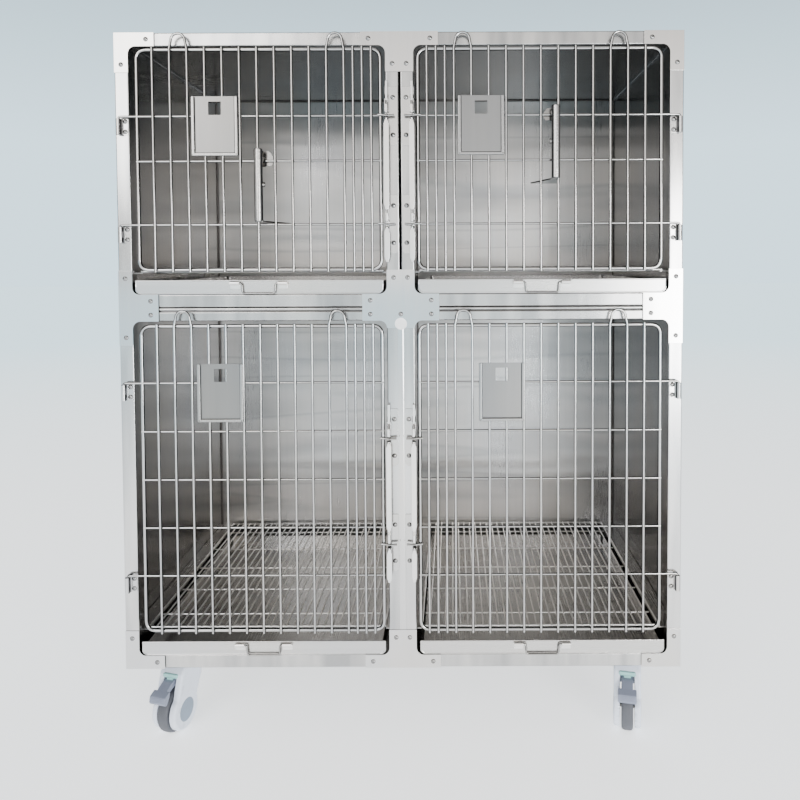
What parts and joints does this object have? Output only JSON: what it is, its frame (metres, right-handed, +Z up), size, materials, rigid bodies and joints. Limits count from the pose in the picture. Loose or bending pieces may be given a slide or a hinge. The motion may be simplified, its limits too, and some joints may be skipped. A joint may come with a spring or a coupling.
{
  "type": "kennel cage bank",
  "caption": "Rolling bank of stainless steel animal cages with hinged wire doors, slide-out trays, lift-out floor grilles and swivel casters.",
  "frame": {"origin": "on the floor, centred under the bank and its door hardware", "axes": "+Z up, +X to the right seen from the front, the doors face -Y"},
  "size_m": [1.22, 0.734, 1.55],
  "materials": {
    "polished_steel": "bright polished stainless steel, with soft vertical haze",
    "brushed_steel": "fine brushed stainless steel, satin",
    "wire_steel": "electropolished stainless wire",
    "card_steel": "matt brushed stainless steel",
    "white_plastic": "white moulded plastic, semi-gloss",
    "grey_tyre": "grey non-marking elastomer, matt",
    "grey_plastic": "blue-grey moulded plastic, matt"
  },
  "bodies": {
    "cabinet": {"upper_roof_panel": "brushed_steel", "upper_floor_panel": "brushed_steel", "lower_roof_panel": "brushed_steel", "lower_base_panel": "brushed_steel", "upper_back_panel": "brushed_steel", "lower_back_panel": "brushed_steel", "lower_centre_strip": "polished_steel", "top_left_junction_plate": "polished_steel", "top_centre_junction_plate": "polished_steel", "top_right_junction_plate": "polished_steel", "middle_left_junction_plate": "polished_steel", "middle_centre_junction_plate": "polished_steel", "middle_right_junction_plate": "polished_steel", "bottom_left_junction_plate": "polished_steel", "bottom_centre_junction_plate": "polished_steel", "bottom_right_junction_plate": "polished_steel", "upper_left_outer_wall": "polished_steel", "upper_left_inner_wall": "polished_steel", "upper_right_outer_wall": "polished_steel", "upper_right_inner_wall": "polished_steel", "lower_left_outer_wall": "polished_steel", "lower_left_inner_wall": "polished_steel", "lower_right_outer_wall": "polished_steel", "lower_right_inner_wall": "polished_steel"},
    "upper_left_door": {"upper_left_door": "wire_steel", "upper_left_card_holder": "card_steel", "upper_left_door_bracket": "brushed_steel"},
    "upper_left_latch": {"upper_left_latch_bar": "wire_steel"},
    "upper_left_tray": {"upper_left_tray": "brushed_steel"},
    "upper_left_bail": {"upper_left_tray_bail": "wire_steel"},
    "upper_left_grille": {"upper_left_floor_grille": "wire_steel"},
    "upper_right_door": {"upper_right_door": "wire_steel", "upper_right_card_holder": "card_steel", "upper_right_door_bracket": "brushed_steel"},
    "upper_right_latch": {"upper_right_latch_bar": "wire_steel"},
    "upper_right_tray": {"upper_right_tray": "brushed_steel"},
    "upper_right_bail": {"upper_right_tray_bail": "wire_steel"},
    "upper_right_grille": {"upper_right_floor_grille": "wire_steel"},
    "lower_left_door": {"lower_left_door": "wire_steel", "lower_left_card_holder": "card_steel"},
    "lower_left_latch": {"lower_left_latch_bar": "wire_steel"},
    "lower_left_tray": {"lower_left_tray": "brushed_steel"},
    "lower_left_bail": {"lower_left_tray_bail": "wire_steel"},
    "lower_left_grille": {"lower_left_floor_grille": "wire_steel"},
    "lower_right_door": {"lower_right_door": "wire_steel", "lower_right_card_holder": "card_steel"},
    "lower_right_latch": {"lower_right_latch_bar": "wire_steel"},
    "lower_right_tray": {"lower_right_tray": "brushed_steel"},
    "lower_right_bail": {"lower_right_tray_bail": "wire_steel"},
    "lower_right_grille": {"lower_right_floor_grille": "wire_steel"},
    "front_left_swivel": {"front_left_caster_housing": "white_plastic"},
    "front_left_wheel": {"front_left_caster_wheel": "grey_tyre"},
    "front_left_pedal": {"front_left_brake_pedal": "grey_plastic"},
    "front_right_swivel": {"front_right_caster_housing": "white_plastic"},
    "front_right_wheel": {"front_right_caster_wheel": "grey_tyre"},
    "front_right_pedal": {"front_right_brake_pedal": "grey_plastic"},
    "rear_left_swivel": {"rear_left_caster_housing": "white_plastic"},
    "rear_left_wheel": {"rear_left_caster_wheel": "grey_tyre"},
    "rear_right_swivel": {"rear_right_caster_housing": "white_plastic"},
    "rear_right_wheel": {"rear_right_caster_wheel": "grey_tyre"}
  },
  "joints": [
    {"name": "upper_left_door_hinge", "type": "hinge", "parent": "cabinet", "child": "upper_left_door", "pos_m": [-0.6, -0.3415, 1.2545], "axis": [0, 0, -1], "range_deg": [0, 175]},
    {"name": "upper_left_latch_slide", "type": "slide", "parent": "cabinet", "child": "upper_left_latch", "axis": [0, 0, -1], "range_m": [0, 0.01]},
    {"name": "upper_left_tray_slide", "type": "slide", "parent": "cabinet", "child": "upper_left_tray", "axis": [0, -1, 0], "range_m": [0, 0.55]},
    {"name": "upper_left_bail_hinge", "type": "hinge", "parent": "upper_left_tray", "child": "upper_left_bail", "pos_m": [-0.306, -0.3376, 1.0135], "axis": [-1, 0, 0], "range_deg": [0, 95]},
    {"name": "upper_left_grille_lift", "type": "slide", "parent": "cabinet", "child": "upper_left_grille", "axis": [0, 0, 1], "range_m": [0, 0.06]},
    {"name": "upper_right_door_hinge", "type": "hinge", "parent": "cabinet", "child": "upper_right_door", "pos_m": [0.6, -0.3415, 1.2545], "axis": [0, 0, 1], "range_deg": [0, 175]},
    {"name": "upper_right_latch_slide", "type": "slide", "parent": "cabinet", "child": "upper_right_latch", "axis": [0, 0, -1], "range_m": [0, 0.01]},
    {"name": "upper_right_tray_slide", "type": "slide", "parent": "cabinet", "child": "upper_right_tray", "axis": [0, -1, 0], "range_m": [0, 0.55]},
    {"name": "upper_right_bail_hinge", "type": "hinge", "parent": "upper_right_tray", "child": "upper_right_bail", "pos_m": [0.306, -0.3376, 1.0135], "axis": [-1, 0, 0], "range_deg": [0, 95]},
    {"name": "upper_right_grille_lift", "type": "slide", "parent": "cabinet", "child": "upper_right_grille", "axis": [0, 0, 1], "range_m": [0, 0.06]},
    {"name": "lower_left_door_hinge", "type": "hinge", "parent": "cabinet", "child": "lower_left_door", "pos_m": [-0.6, -0.3415, 0.587], "axis": [0, 0, -1], "range_deg": [0, 175]},
    {"name": "lower_left_latch_slide", "type": "slide", "parent": "cabinet", "child": "lower_left_latch", "axis": [0, 0, -1], "range_m": [0, 0.01]},
    {"name": "lower_left_tray_slide", "type": "slide", "parent": "cabinet", "child": "lower_left_tray", "axis": [0, -1, 0], "range_m": [0, 0.55]},
    {"name": "lower_left_bail_hinge", "type": "hinge", "parent": "lower_left_tray", "child": "lower_left_bail", "pos_m": [-0.306, -0.3376, 0.2185], "axis": [-1, 0, 0], "range_deg": [0, 95]},
    {"name": "lower_left_grille_lift", "type": "slide", "parent": "cabinet", "child": "lower_left_grille", "axis": [0, 0, 1], "range_m": [0, 0.06]},
    {"name": "lower_right_door_hinge", "type": "hinge", "parent": "cabinet", "child": "lower_right_door", "pos_m": [0.6, -0.3415, 0.587], "axis": [0, 0, 1], "range_deg": [0, 175]},
    {"name": "lower_right_latch_slide", "type": "slide", "parent": "cabinet", "child": "lower_right_latch", "axis": [0, 0, -1], "range_m": [0, 0.01]},
    {"name": "lower_right_tray_slide", "type": "slide", "parent": "cabinet", "child": "lower_right_tray", "axis": [0, -1, 0], "range_m": [0, 0.55]},
    {"name": "lower_right_bail_hinge", "type": "hinge", "parent": "lower_right_tray", "child": "lower_right_bail", "pos_m": [0.306, -0.3376, 0.2185], "axis": [-1, 0, 0], "range_deg": [0, 95]},
    {"name": "lower_right_grille_lift", "type": "slide", "parent": "cabinet", "child": "lower_right_grille", "axis": [0, 0, 1], "range_m": [0, 0.06]},
    {"name": "front_left_caster_swivel", "type": "hinge", "parent": "cabinet", "child": "front_left_swivel", "pos_m": [-0.512, -0.253, 0.14], "axis": [0, 0, 1], "continuous": true},
    {"name": "front_left_caster_roll", "type": "hinge", "parent": "front_left_swivel", "child": "front_left_wheel", "pos_m": [-0.52137, -0.28568, 0.05], "axis": [0.9613, -0.2756, 0], "continuous": true},
    {"name": "front_left_brake_press", "type": "hinge", "parent": "front_left_swivel", "child": "front_left_pedal", "pos_m": [-0.52413, -0.2953, 0.118], "axis": [0.9613, -0.2756, 0], "range_deg": [0, 12]},
    {"name": "front_right_caster_swivel", "type": "hinge", "parent": "cabinet", "child": "front_right_swivel", "pos_m": [0.512, -0.253, 0.14], "axis": [0, 0, 1], "continuous": true},
    {"name": "front_right_caster_roll", "type": "hinge", "parent": "front_right_swivel", "child": "front_right_wheel", "pos_m": [0.50435, -0.28613, 0.05], "axis": [0.9744, -0.225, 0], "continuous": true},
    {"name": "front_right_brake_press", "type": "hinge", "parent": "front_right_swivel", "child": "front_right_pedal", "pos_m": [0.5021, -0.29587, 0.118], "axis": [0.9744, -0.225, 0], "range_deg": [0, 12]},
    {"name": "rear_left_caster_swivel", "type": "hinge", "parent": "cabinet", "child": "rear_left_swivel", "pos_m": [-0.512, 0.287, 0.14], "axis": [0, 0, 1], "continuous": true},
    {"name": "rear_left_caster_roll", "type": "hinge", "parent": "rear_left_swivel", "child": "rear_left_wheel", "pos_m": [-0.5208, 0.25416, 0.05], "axis": [0.9659, -0.2588, 0], "continuous": true},
    {"name": "rear_right_caster_swivel", "type": "hinge", "parent": "cabinet", "child": "rear_right_swivel", "pos_m": [0.512, 0.287, 0.14], "axis": [0, 0, 1], "continuous": true},
    {"name": "rear_right_caster_roll", "type": "hinge", "parent": "rear_right_swivel", "child": "rear_right_wheel", "pos_m": [0.5032, 0.25416, 0.05], "axis": [0.9659, -0.2588, 0], "continuous": true}
  ]
}
